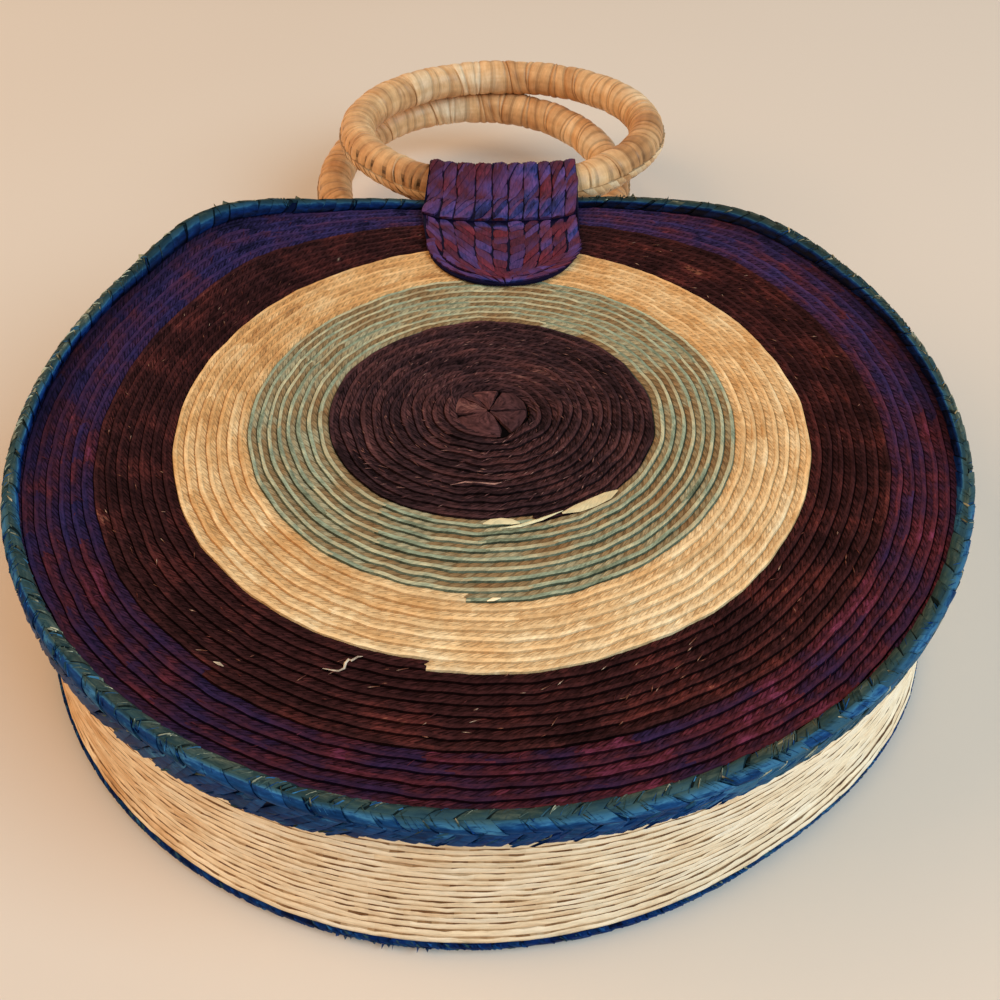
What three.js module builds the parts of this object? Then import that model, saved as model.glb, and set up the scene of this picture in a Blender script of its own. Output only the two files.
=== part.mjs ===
// Round straw bag lying on its back: two spiral-sewn straw discs joined by a straw gusset, a plaited braid
// folded over each rim, and two straw-wound ring handles, each held at the mouth by a plaited tab.
// Millimetres, +Z up. The origin is on the floor under the middle of the front disc. +Y points at the mouth.
import * as THREE from "three";

// Discs
const DISC_RADIUS = 189;
const STRAW_WALL = 3;
const FRONT_HEIGHT = 80; // top of the front disc's flat middle
const FLAT_RADIUS = 124; // the front disc is flat inside this radius and curls outside it
const JOIN_GAP = 0.3; // clearance between pieces that are sewn together

// The back disc lies on the floor, a little to the left of the front one, and bends up towards the mouth over
// the tab that is sewn under it
const BACK_SHIFT = -6.5;
const BEND_START_Y = 50;
const BEND_BLEND = 14;
const BEND_SLOPE = 0.11;
const BACK_RIM_START = 150; // outside this radius the back disc rises on to its rim braid

// Gusset and mouth
const GUSSET_WALL = 2.5;
const MOUTH_FROM = 48; // degrees from +X, where the gusset ends on each side of the mouth
const MOUTH_TO = 132;

// Rim braid: an angle section with one leg on the disc and one leg on the gusset
const RIM_THICKNESS = 2.5;
const RIM_DISC_LEG = 6.5;
const RIM_CORNER = 1; // the fold's outer corner is cut at this setback
const RIM_SIDE_GAP = 0.7; // clearance outside the disc's edge, so that the leaning side leg stays off it
const FRONT_SIDE_LEG = 8;
const BACK_SIDE_LEG = 8;
const MOUTH_SIDE_LEG = 5.5; // at the mouth it only folds round the disc's edge
const RIM_EASE = 12; // degrees over which the side leg shortens at the mouth

// Handles and tabs
const RING_RADIUS = 93.3;
const RING_TUBE = 10;
const RING_CLEARANCE = 0.8;
const TAB_WIDTH = 80;
const TAB_THICKNESS = 2.5;
const TAB_GAP = 0.6; // clearance between the tab and the disc that it is sewn to
const TAB_END_Y = 93; // tip of the tab's round end
const TAB_END_DEPTH = 34;
const TAB_CREASE_Y = 158; // where the tab leaves the disc to climb over the rim
const TAB_TUCK_Y = 150; // end of the tab inside the bag
const LOOP_REACH = 105; // degrees above and below level that the tab follows round the ring
const LOOP_STEPS = 10;

// Facets
const AROUND = 60;
const RING_SIDES = 10;
const RING_STEPS = 44;
const TAB_COLUMNS = 6;

const NATURAL_STRAW = { color: 0xd9ae74, roughness: 0.7 };
const SAGE_STRAW = { color: 0x8f8a63, roughness: 0.7 };
const BROWN_STRAW = { color: 0x3a2020, roughness: 0.7 };
const PURPLE_STRAW = { color: 0x3b1f45, roughness: 0.65 };
const BLUE_STRAW = { color: 0x1b3f73, roughness: 0.5 };
const HANDLE_STRAW = { color: 0xcf9f66, roughness: 0.6 };
const TAB_STRAW = { color: 0x4a2a55, roughness: 0.55 };

// One length of dyed braid after another, sewn in a spiral from the middle of each disc. The radii are where
// a coil begins, where its curve needs a station, and where the next coil begins.
const COILS = [
  { name: "centre", radii: [0, 67], dye: BROWN_STRAW },
  { name: "sage", radii: [67, 102], dye: SAGE_STRAW },
  { name: "natural", radii: [102, 131], dye: NATURAL_STRAW },
  { name: "brown", radii: [131, 142, 153, 163], dye: BROWN_STRAW },
  { name: "purple", radii: [163, 173, DISC_RADIUS - RIM_DISC_LEG, DISC_RADIUS], dye: PURPLE_STRAW },
];

// How far the front disc's edge stands above its flat middle: it curls up all round, most at the two ends of
// the gusset, and sinks at the mouth
const FRONT_EDGE = [
  { angle: -90, lift: 5 },
  { angle: -45, lift: 5 },
  { angle: 0, lift: 7 },
  { angle: 25, lift: 11 },
  { angle: 45, lift: 13 },
  { angle: 65, lift: 2 },
  { angle: 90, lift: -10 },
  { angle: 115, lift: 2 },
  { angle: 137, lift: 20 },
  { angle: 155, lift: 12 },
  { angle: 180, lift: 6 },
  { angle: 225, lift: 5 },
];

// Middle of each ring, measured from the middle of its own disc, and how far its far side tips up. The front
// ring's far side rests on the back ring.
const FRONT_HANDLE = { x: 7, y: 306.6, z: 63.3, tilt: -3.5 };
const BACK_HANDLE = { x: -5.5, y: 306, z: 26.8, tilt: 6.2 };

const { degToRad, radToDeg, euclideanModulo, lerp, smoothstep } = THREE.MathUtils;

// Height of the front disc's edge at an angle, on a smooth closed curve through the table
function edgeLift(angle) {
  const count = FRONT_EDGE.length;
  const start = FRONT_EDGE[0].angle;
  const turn = euclideanModulo(angle - start, 360) + start;
  const station = (i) => {
    const row = FRONT_EDGE[euclideanModulo(i, count)];
    return { angle: row.angle + 360 * Math.floor(i / count), lift: row.lift };
  };
  let i = 0;
  while (station(i + 1).angle <= turn) i += 1;
  const [before, from, to, after] = [i - 1, i, i + 1, i + 2].map(station);
  const span = to.angle - from.angle;
  const slopeFrom = ((to.lift - before.lift) / (to.angle - before.angle)) * span;
  const slopeTo = ((after.lift - from.lift) / (after.angle - from.angle)) * span;
  const t = (turn - from.angle) / span;
  const ease = t * t * (3 - 2 * t);
  return lerp(from.lift, to.lift, ease) + t * (1 - t) ** 2 * slopeFrom - t * t * (1 - t) * slopeTo;
}

// Upper face of the front disc, from its own middle
function frontOuter(x, y) {
  const rise = Math.max(0, (Math.hypot(x, y) - FLAT_RADIUS) / (DISC_RADIUS - FLAT_RADIUS));
  return FRONT_HEIGHT + edgeLift(radToDeg(Math.atan2(y, x))) * rise ** 2;
}

// Lower face of the back disc, from its own middle
function backOuter(x, y) {
  const past = Math.max(0, y - BEND_START_Y);
  const bend = past < BEND_BLEND ? past ** 2 / (2 * BEND_BLEND) : past - BEND_BLEND / 2;
  const onRim = smoothstep(Math.hypot(x, y), BACK_RIM_START, DISC_RADIUS - RIM_DISC_LEG);
  return BEND_SLOPE * bend + (RIM_THICKNESS + JOIN_GAP) * onRim;
}

// Each disc's outer face, which way is outwards, and how the other disc lies from it
const FRONT = { outer: frontOuter, out: 1, across: BACK_SHIFT, sideLeg: FRONT_SIDE_LEG };
const BACK = { outer: backOuter, out: -1, across: -BACK_SHIFT, sideLeg: BACK_SIDE_LEG };

const direction = (j) => {
  const angle = degToRad((360 * j) / AROUND);
  return [Math.cos(angle), Math.sin(angle)];
};

function meshOf(points, index) {
  const geometry = new THREE.BufferGeometry();
  geometry.setAttribute("position", new THREE.Float32BufferAttribute(points, 3));
  geometry.setIndex(index);
  geometry.computeVertexNormals();
  return geometry;
}

// Closed solid between two grids of points. face(i, j) and behind(i, j) give matching points, rows run along
// i and columns along j, and a ring joins its last column to its first.
function gridSolid(rows, columns, face, behind, { ring = false } = {}) {
  const points = [];
  for (const side of [face, behind]) {
    for (let i = 0; i < rows; i += 1) {
      for (let j = 0; j < columns; j += 1) points.push(...side(i, j));
    }
  }
  const at = (side, i, j) => side * rows * columns + i * columns + (j % columns);
  const index = [];
  const quad = (a, b, c, d) => index.push(a, b, c, a, c, d);
  const lastRow = rows - 1;
  const lastColumn = ring ? columns : columns - 1;
  for (let j = 0; j < lastColumn; j += 1) {
    for (let i = 0; i < lastRow; i += 1) {
      quad(at(0, i, j), at(0, i + 1, j), at(0, i + 1, j + 1), at(0, i, j + 1));
      quad(at(1, i, j), at(1, i, j + 1), at(1, i + 1, j + 1), at(1, i + 1, j));
    }
    quad(at(0, 0, j), at(0, 0, j + 1), at(1, 0, j + 1), at(1, 0, j));
    quad(at(0, lastRow, j + 1), at(0, lastRow, j), at(1, lastRow, j), at(1, lastRow, j + 1));
  }
  if (!ring) {
    for (let i = 0; i < lastRow; i += 1) {
      quad(at(0, i + 1, 0), at(0, i, 0), at(1, i, 0), at(1, i + 1, 0));
      quad(at(0, i, lastColumn), at(0, i + 1, lastColumn), at(1, i + 1, lastColumn), at(1, i, lastColumn));
    }
  }
  return meshOf(points, index);
}

// A disc's band of braid: a washer of straw wall, or a whole round for the one in the middle
function coilGeometry(radii, disc) {
  const last = radii.length - 1;
  const edge = radii[last] < DISC_RADIUS ? radii[last] - JOIN_GAP : DISC_RADIUS;
  const topOffset = disc.out > 0 ? 0 : STRAW_WALL;
  const point = (r, j, drop) => {
    const [cos, sin] = direction(j);
    return [r * cos, r * sin, disc.outer(r * cos, r * sin) + topOffset - drop];
  };
  if (radii[0] > 0) {
    const radiusAt = (i) => (i === last ? edge : radii[i]);
    const upper = (i, j) => point(radiusAt(i), j, 0);
    const lower = (i, j) => point(radiusAt(i), j, STRAW_WALL);
    return gridSolid(radii.length, AROUND, upper, lower, { ring: true });
  }
  const points = [...point(0, 0, 0), ...point(0, 0, STRAW_WALL)];
  const index = [];
  for (let j = 0; j < AROUND; j += 1) {
    points.push(...point(edge, j, 0), ...point(edge, j, STRAW_WALL));
    const [upper, lower] = [2 + 2 * j, 3 + 2 * j];
    const [nextUpper, nextLower] = [2 + 2 * ((j + 1) % AROUND), 3 + 2 * ((j + 1) % AROUND)];
    index.push(0, upper, nextUpper, 1, nextLower, lower);
    index.push(upper, lower, nextLower, upper, nextLower, nextUpper);
  }
  return meshOf(points, index);
}

// The side wall, from one end of the mouth round the bottom of the bag to the other, leaning with the discs
function gussetGeometry() {
  const first = (MOUTH_TO * AROUND) / 360;
  const columns = ((360 - MOUTH_TO + MOUTH_FROM) * AROUND) / 360 + 1;
  const wall = (r) => (i, j) => {
    const [cos, sin] = direction(first + j);
    const [x, y] = [r * cos, r * sin];
    const atFront = [x, y, frontOuter(x, y) - STRAW_WALL - JOIN_GAP];
    const atBack = [x + BACK_SHIFT, y, backOuter(x, y) + STRAW_WALL + JOIN_GAP];
    return i === 0 ? atFront : atBack;
  };
  return gridSolid(2, columns, wall(DISC_RADIUS), wall(DISC_RADIUS - GUSSET_WALL));
}

// The plaited braid folded over a disc's rim. Its side leg follows the gusset's lean.
function rimGeometry(disc) {
  const section = (j) => {
    const [cos, sin] = direction(j);
    const angle = euclideanModulo((360 * j) / AROUND + 90, 360) - 90;
    const pastMouth = Math.max(MOUTH_FROM - angle, angle - MOUTH_TO);
    const leg = lerp(MOUTH_SIDE_LEG, disc.sideLeg, smoothstep(pastMouth, -RIM_EASE, 0));
    const inner = DISC_RADIUS - RIM_DISC_LEG;
    const edge = DISC_RADIUS + RIM_SIDE_GAP;
    const outer = edge + RIM_THICKNESS;
    const onInner = disc.outer(inner * cos, inner * sin);
    const [x, y] = [edge * cos, edge * sin];
    const onEdge = disc.outer(x, y);
    const lean = (disc.across * leg) / (frontOuter(x, y) - backOuter(x, y));
    const [near, far] = [disc.out * JOIN_GAP, disc.out * (JOIN_GAP + RIM_THICKNESS)];
    const foot = onEdge - disc.out * leg;
    const at = (r, z, shift = 0) => [r * cos + shift, r * sin, z];
    return [
      at(inner, onInner + near),
      at(edge, onEdge + near),
      at(edge, foot, lean),
      at(outer, foot, lean),
      at(outer, onEdge + far - disc.out * RIM_CORNER),
      at(outer - RIM_CORNER, onEdge + far),
      at(inner, onInner + far),
    ];
  };
  const sections = Array.from({ length: AROUND }, (_, j) => section(j));
  const sides = sections[0].length;
  const index = [];
  for (let j = 0; j < AROUND; j += 1) {
    const [here, next] = [j * sides, ((j + 1) % AROUND) * sides];
    for (let k = 0; k < sides; k += 1) {
      const after = (k + 1) % sides;
      const [a, b, c, d] = [here + k, here + after, next + after, next + k];
      index.push(...(disc.out > 0 ? [a, c, b, a, d, c] : [a, b, c, a, c, d]));
    }
  }
  return meshOf(sections.flat(2), index);
}

// Middle line of a tab at one place across its width, as [y, z] points: from its round end along the disc,
// over the rim braid, round the ring and back into the mouth, where it is sewn to the disc's inner face
function tabLine(disc, handle, x) {
  const half = TAB_THICKNESS / 2;
  const onDisc = TAB_GAP + half;
  const onRim = RIM_THICKNESS + JOIN_GAP + onDisc;
  const edgeY = Math.sqrt(DISC_RADIUS ** 2 - x ** 2);
  const outside = (y, clear) => [y, disc.outer(x, y) + disc.out * clear];
  const inside = (y, clear) => [y, disc.outer(x, y) - disc.out * (STRAW_WALL + clear)];

  const across = Math.min(1, Math.abs(x - handle.x) / (TAB_WIDTH / 2));
  const tipY = TAB_END_Y + TAB_END_DEPTH * (1 - Math.sqrt(1 - across ** 2));
  const onDiscYs = [0, 0.2, 0.45, 0.7, 0.9, 1].map((t) => lerp(tipY, TAB_CREASE_Y, t));
  const line = onDiscYs.map((y) => outside(y, onDisc));
  line.push(outside(TAB_CREASE_Y + 6, onDisc + 1.2));
  line.push(outside(edgeY - RIM_DISC_LEG - 4, onRim + 0.5));
  line.push(outside(edgeY - 2, onRim + 0.6));

  const lean = Math.asin((x - handle.x) / RING_RADIUS);
  const reach = RING_RADIUS * Math.cos(lean);
  const tubeY = handle.y - reach * Math.cos(degToRad(handle.tilt));
  const tubeZ = handle.z - reach * Math.sin(degToRad(handle.tilt));
  const loopY = RING_TUBE / Math.cos(lean) + RING_CLEARANCE + half;
  const loopZ = RING_TUBE + RING_CLEARANCE + half;
  for (let step = 0; step <= LOOP_STEPS; step += 1) {
    const around = degToRad(LOOP_REACH * (1 - (2 * step) / LOOP_STEPS));
    line.push([tubeY + loopY * Math.cos(around), tubeZ + disc.out * loopZ * Math.sin(around)]);
  }

  const underFold = MOUTH_SIDE_LEG - STRAW_WALL + onDisc;
  line.push(inside(edgeY, underFold + 0.6));
  line.push(inside(edgeY - 6, underFold - 0.4));
  line.push(inside(edgeY - 14, onDisc + 0.4));
  line.push(inside(lerp(edgeY - 14, TAB_TUCK_Y, 0.5), onDisc));
  line.push(inside(TAB_TUCK_Y, onDisc));
  return line;
}

// A tab is its middle line, repeated across its width and thickened square to itself
function tabGeometry(disc, handle) {
  const columns = Array.from({ length: TAB_COLUMNS + 1 }, (_, j) => {
    const x = handle.x + (TAB_WIDTH / 2) * Math.cos((Math.PI * j) / TAB_COLUMNS);
    return { x, line: tabLine(disc, handle, x) };
  });
  const rows = columns[0].line.length;
  const face = (side) => (i, j) => {
    const { x, line } = columns[j];
    const [y, z] = line[i];
    const [y0, z0] = line[Math.max(0, i - 1)];
    const [y1, z1] = line[Math.min(rows - 1, i + 1)];
    const push = (side * TAB_THICKNESS) / 2 / Math.hypot(y1 - y0, z1 - z0);
    return [x, y - push * (z1 - z0), z + push * (y1 - y0)];
  };
  return gridSolid(rows, TAB_COLUMNS + 1, face(1), face(-1));
}

function ringMesh(name, handle) {
  const torus = new THREE.TorusGeometry(RING_RADIUS, RING_TUBE, RING_SIDES, RING_STEPS);
  const ring = piece(name, torus, HANDLE_STRAW);
  ring.position.set(handle.x, handle.y, handle.z);
  ring.rotation.x = degToRad(handle.tilt);
  return ring;
}

function piece(name, geometry, dye) {
  const mesh = new THREE.Mesh(geometry, new THREE.MeshStandardMaterial({ ...dye, metalness: 0 }));
  mesh.name = name;
  return mesh;
}

// One side of the bag: a disc with its rim braid, tab and ring
function sideGroup(name, disc, handle) {
  const side = new THREE.Group();
  for (const { name: coil, radii, dye } of COILS) {
    side.add(piece(`${name}_${coil}_coil`, coilGeometry(radii, disc), dye));
  }
  side.add(piece(`${name}_rim_braid`, rimGeometry(disc), BLUE_STRAW));
  side.add(piece(`${name}_handle_tab`, tabGeometry(disc, handle), TAB_STRAW));
  side.add(ringMesh(`${name}_handle_ring`, handle));
  return side;
}

const bag = new THREE.Group();
bag.add(sideGroup("front", FRONT, FRONT_HANDLE));
const backSide = sideGroup("back", BACK, BACK_HANDLE);
backSide.position.x = BACK_SHIFT;
bag.add(backSide);
bag.add(piece("gusset", gussetGeometry(), NATURAL_STRAW));

export default bag;
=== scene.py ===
# Round straw bag lying on its back, as it is put together: camera and floor first, then the sewn coils of the
# two discs from the middle outwards, the gusset, the rim braids, the ring handles and the plaited tabs.
# Shapes are worked out in millimetres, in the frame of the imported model, and become metres in straw_piece.
import math

import bpy
import numpy as np
from mathutils import Matrix, Vector


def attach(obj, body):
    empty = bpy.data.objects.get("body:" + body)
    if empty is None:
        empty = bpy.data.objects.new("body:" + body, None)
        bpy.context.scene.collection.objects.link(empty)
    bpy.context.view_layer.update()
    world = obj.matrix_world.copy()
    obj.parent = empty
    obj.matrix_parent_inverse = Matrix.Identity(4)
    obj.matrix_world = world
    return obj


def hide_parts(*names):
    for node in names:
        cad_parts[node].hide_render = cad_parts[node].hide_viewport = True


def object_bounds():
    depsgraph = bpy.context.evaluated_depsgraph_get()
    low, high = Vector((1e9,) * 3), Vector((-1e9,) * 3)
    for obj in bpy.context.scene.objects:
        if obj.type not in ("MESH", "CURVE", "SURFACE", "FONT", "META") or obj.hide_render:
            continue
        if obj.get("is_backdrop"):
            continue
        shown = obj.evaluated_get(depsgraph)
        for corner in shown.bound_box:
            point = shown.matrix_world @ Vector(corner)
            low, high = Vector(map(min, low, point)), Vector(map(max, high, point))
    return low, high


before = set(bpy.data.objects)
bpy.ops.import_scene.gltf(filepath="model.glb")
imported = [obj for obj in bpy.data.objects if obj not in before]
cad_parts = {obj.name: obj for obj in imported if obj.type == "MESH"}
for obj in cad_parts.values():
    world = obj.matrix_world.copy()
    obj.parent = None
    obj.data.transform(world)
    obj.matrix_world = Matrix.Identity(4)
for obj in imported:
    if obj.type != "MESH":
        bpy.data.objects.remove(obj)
cad_low, cad_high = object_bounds()
bpy.ops.object.select_all(action="DESELECT")
scene = bpy.context.scene

# Camera
# It stands 35 cm up in front of the bag and looks down at the front disc at 45 degrees, with a lens as long
# as the picture is wide, and leans a third of a degree.
camera_pitch = math.radians(44.98)
camera_lean = math.radians(-0.3)
bpy.ops.object.camera_add(location=(0.0045, -0.325, 0.3519))
camera = bpy.context.object
camera_turn = Matrix.Rotation(camera_pitch, 3, "X") @ Matrix.Rotation(camera_lean, 3, "Z")
camera.rotation_euler = camera_turn.to_euler()
camera.data.sensor_width = 36
camera.data.lens = 36
scene.camera = camera

# Floor and studio light
# A plain pale board under the bag, a large warm soft light from the left, a cooler one from the right and an
# even glow from all round.
scene.view_settings.view_transform = "Standard"


def linear(red, green, blue):
    """A colour as a screen shows it, from 0 to 255, in the linear values that a shader takes."""
    parts = [value / 255 for value in (red, green, blue)]
    return tuple(((v + 0.055) / 1.055) ** 2.4 if v > 0.04045 else v / 12.92 for v in parts)


class Wire:
    """A node's socket that can be calculated with: each operator adds a node to the same tree."""

    def __init__(self, tree, socket=None):
        self.tree = tree
        self.socket = socket

    def node(self, kind, settings, sockets, output=0):
        made = self.tree.nodes.new(kind)
        for key, value in settings.items():
            if key == "stops":
                ramp = made.color_ramp.elements
                while len(ramp) < len(value):
                    ramp.new(0.5)
                for element, (place, colour) in zip(ramp, value):
                    element.position = place
                    element.color = (*colour, 1)
            else:
                setattr(made, key, value)
        for key, value in sockets.items():
            if isinstance(value, Wire):
                self.tree.links.new(value.socket, made.inputs[key])
            else:
                made.inputs[key].default_value = value
        return Wire(self.tree, made.outputs[output])

    def maths(self, operation, first, second=0.0):
        return self.node("ShaderNodeMath", {"operation": operation}, {0: first, 1: second})

    def __add__(self, other):
        return self.maths("ADD", self, other)

    def __sub__(self, other):
        return self.maths("SUBTRACT", self, other)

    def __mul__(self, other):
        return self.maths("MULTIPLY", self, other)

    __radd__ = __add__
    __rmul__ = __mul__

    def into(self, shader, socket):
        self.tree.links.new(self.socket, shader.inputs[socket])


def finish_tree(name):
    """A new material, its node tree as a Wire, and its shader."""
    finish = bpy.data.materials.new(name)
    finish.use_nodes = True
    return finish, Wire(finish.node_tree), finish.node_tree.nodes["Principled BSDF"]


floor_drop = 0.0014
bpy.ops.mesh.primitive_plane_add(size=9, location=(0, 0, -floor_drop))
floor = bpy.context.object
floor.name = "floor"
board, wire, shader = finish_tree("pale_board")
place = wire.node("ShaderNodeTexCoord", {}, {}, "Object")
cloud = wire.node("ShaderNodeTexNoise", {}, {"Vector": place, "Scale": 1.4, "Detail": 2.0})
tint = wire.node(
    "ShaderNodeMix",
    {"data_type": "RGBA"},
    {"Factor": cloud, "A": (*linear(220, 202, 183), 1), "B": (*linear(228, 214, 198), 1)},
    "Result",
)
tint.into(shader, "Base Color")
shader.inputs["Roughness"].default_value = 0.75
floor.data.materials.append(board)
floor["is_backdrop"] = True


bag_middle = Vector((0, 0.05, 0.05))


def soft_light(name, place, size, watts, colour):
    """A square soft light that faces the middle of the bag."""
    bpy.ops.object.light_add(type="AREA", location=place)
    light = bpy.context.object
    light.name = name
    light.rotation_euler = (bag_middle - Vector(place)).to_track_quat("-Z", "Y").to_euler()
    light.data.size = size
    light.data.energy = watts
    light.data.color = colour


soft_light("window", (-2.6, -0.1, 2.3), 2.4, 65, (1.0, 0.64, 0.34))
soft_light("reflector", (2.3, -1.2, 2.2), 2.4, 84, (0.7, 1.0, 1.24))
scene.world = bpy.data.worlds.new("studio")
scene.world.use_nodes = True
glow = scene.world.node_tree.nodes["Background"]
glow.inputs["Color"].default_value = (1.0, 0.87, 0.74, 1)
glow.inputs["Strength"].default_value = 0.43

# Centre coils
# The sewing starts at a knot of folded leaves in the middle of each disc. From there a plum-brown braid is
# wound outwards in a flat spiral, and each turn is stitched to the one inside it.
disc_radius = 189.0
straw_wall = 3.0
front_height = 80.0
flat_radius = 124.0
bend_start, bend_round, bend_slope = 50, 14, 0.11
back_edge_lift = 2.8
bag_lean = 6.5
# How far the front disc's edge stands above its middle at angles round it, counted from the right
edge_angles = np.array([-90, -45, 0, 25, 45, 65, 90, 115, 137, 155, 180, 225], float)
edge_lifts = np.array([5, 5, 7, 11, 13, 2, -10, 2, 20, 12, 6, 5], float)


def edge_lift(angle):
    """How far the front disc's edge stands above its flat middle, on a smooth closed curve."""
    angles = np.concatenate([edge_angles[-2:] - 360, edge_angles, edge_angles[:3] + 360])
    lifts = np.concatenate([edge_lifts[-2:], edge_lifts, edge_lifts[:3]])
    turn = (angle + 90) % 360 - 90
    i = np.searchsorted(angles, turn, side="right") - 1
    span = angles[i + 1] - angles[i]
    slope_from = (lifts[i + 1] - lifts[i - 1]) / (angles[i + 1] - angles[i - 1]) * span
    slope_to = (lifts[i + 2] - lifts[i]) / (angles[i + 2] - angles[i]) * span
    t = (turn - angles[i]) / span
    ease = t * t * (3 - 2 * t)
    level = lifts[i] + (lifts[i + 1] - lifts[i]) * ease
    return level + t * (1 - t) ** 2 * slope_from - t * t * (1 - t) * slope_to


def smooth_rise(value, low, high):
    """From 0 at low to 1 at high, with a soft start and end."""
    t = np.clip((value - low) / (high - low), 0, 1)
    return t * t * (3 - 2 * t)


def front_face(x, y):
    """Upper face of the front disc, measured from its own middle."""
    rise = np.maximum(0, (np.hypot(x, y) - flat_radius) / (disc_radius - flat_radius))
    return front_height + edge_lift(np.degrees(np.arctan2(y, x))) * rise**2


def back_face(x, y):
    """Lower face of the back disc, measured from its own middle: it bends up towards the mouth."""
    past = np.maximum(0, y - bend_start)
    bend = np.where(past < bend_round, past**2 / (2 * bend_round), past - bend_round / 2)
    return bend_slope * bend + back_edge_lift * smooth_rise(np.hypot(x, y), 150, 182.5)


front_side = {"name": "front", "face": front_face, "out": 1, "shift": 0.0, "lean": -bag_lean}
back_side = {"name": "back", "face": back_face, "out": -1, "shift": -bag_lean, "lean": bag_lean}
sides = (front_side, back_side)


def disc_points(side, x, y, height):
    """Points at a height over a disc's outer face."""
    return np.stack([x + side["shift"], y, side["face"](x, y) + side["out"] * height], axis=-1)


def wander(x, y, size, seed):
    """A smooth wavering between about -1 and 1, in waves about as long as size."""
    draw = np.random.default_rng(seed)
    total = 0
    for _ in range(5):
        heading = draw.uniform(0, 2 * math.pi)
        pace = 2 * math.pi / size * draw.uniform(0.6, 1.6)
        total = total + np.sin(pace * (x * math.cos(heading) + y * math.sin(heading)) + draw.uniform(0, 6.28))
    return total / 2.4


def grid_part(points, u, v, dye, tone, close=False, ring=False, caps=False, shift=0):
    """One part of a piece from a grid of points: its faces, and for their corners the UV, the shade of the
    dye and how light it is. A closed grid joins its last column to its first, shifted along by some rows in
    a winding, and a ring joins its last row to its first. Dye and tone are given by point or by face."""
    rows, columns = points.shape[:2]
    number = np.arange(rows * columns).reshape(rows, columns)
    if close:
        number = np.concatenate([number, np.roll(number[:, :1], shift, axis=0)], axis=1)
    if ring:
        number = np.concatenate([number, number[:1]], axis=0)
    face_shape = (number.shape[0] - 1, number.shape[1] - 1)

    def corners(grid):
        grid = np.broadcast_to(grid, number.shape)
        return np.stack([grid[:-1, :-1], grid[:-1, 1:], grid[1:, 1:], grid[1:, :-1]], axis=-1).reshape(-1, 4)

    def shades(values):
        if np.shape(values) == number.shape:
            return corners(values)
        return np.repeat(np.broadcast_to(values, face_shape).reshape(-1, 1), 4, axis=1)

    part = {
        "faces": corners(number),
        "uv": np.stack([corners(u), corners(v)], axis=-1),
        "dye": shades(dye),
        "tone": shades(tone),
    }
    if caps:
        fan = np.array([[0, i, i + 1, i + 2] for i in range(1, columns - 2, 2)])
        ends = np.concatenate([fan[:, ::-1], fan + (rows - 1) * columns])
        cap_dye, cap_tone = np.full(ends.shape, part["dye"][-1, 0]), np.full(ends.shape, 0.7)
        added = {"faces": ends, "uv": np.zeros((*ends.shape, 2)), "dye": cap_dye, "tone": cap_tone}
        part = {key: np.concatenate([part[key], more]) for key, more in added.items()}
    part["points"] = points.reshape(-1, 3)
    return part


def turned_over(part):
    """The same part with its faces the other way round."""
    for key in ("faces", "uv", "dye", "tone"):
        part[key] = part[key][:, ::-1]
    return part


def turned_out(part):
    """The same closed part with its faces outwards."""
    a, b, c, d = (part["points"][part["faces"][:, k]] for k in range(4))
    volume = (a * np.cross(b, c)).sum() + (a * np.cross(c, d)).sum()
    return turned_over(part) if volume < 0 else part


settle_out = 9.0
settle_low, settle_high = 4.0, 70.0


def settled(points):
    """The soft bag has sunk to its right: places low on that side move out, most of all on the floor."""
    x, y, z = points.T
    from_middle = x - back_side["shift"]
    angle = np.arctan2(y, from_middle)
    right = smooth_rise(np.degrees(angle), -60, -24) * (1 - smooth_rise(np.degrees(angle), 5, 48))
    low = np.clip((settle_high - z) / (settle_high - settle_low), 0, 1)
    out = settle_out * low * right * smooth_rise(np.hypot(from_middle, y), 90, disc_radius)
    return np.stack([x + out * np.cos(angle), y + out * np.sin(angle), z], axis=-1)


crease_angle = math.radians(40)


def straw_piece(name, parts, finish, node):
    """Join parts into one piece of the bag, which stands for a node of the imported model."""
    starts = np.cumsum([0] + [len(part["points"]) for part in parts[:-1]])
    points = settled(np.concatenate([part["points"] for part in parts])) * 0.001
    faces = np.concatenate([part["faces"] + start for part, start in zip(parts, starts)])
    mesh = bpy.data.meshes.new(name)
    mesh.vertices.add(len(points))
    mesh.vertices.foreach_set("co", points.astype(np.float32).ravel())
    mesh.loops.add(faces.size)
    mesh.loops.foreach_set("vertex_index", faces.astype(np.int32).ravel())
    mesh.polygons.add(len(faces))
    mesh.polygons.foreach_set("loop_start", np.arange(0, faces.size, 4, dtype=np.int32))
    uv = np.concatenate([part["uv"] for part in parts])
    mesh.uv_layers.new(name="braid").data.foreach_set("uv", uv.astype(np.float32).ravel())
    for key in ("dye", "tone"):
        values = np.concatenate([part[key] for part in parts]).astype(np.float32)
        mesh.attributes.new(key, "FLOAT", "CORNER").data.foreach_set("value", values.ravel())
    mesh.update(calc_edges=True)
    mesh.materials.append(finish)
    piece = bpy.data.objects.new(name, mesh)
    scene.collection.objects.link(piece)
    bpy.ops.object.select_all(action="DESELECT")
    piece.select_set(True)
    bpy.context.view_layer.objects.active = piece
    bpy.ops.object.shade_smooth_by_angle(angle=crease_angle)
    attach(piece, "root")
    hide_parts(node)


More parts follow.
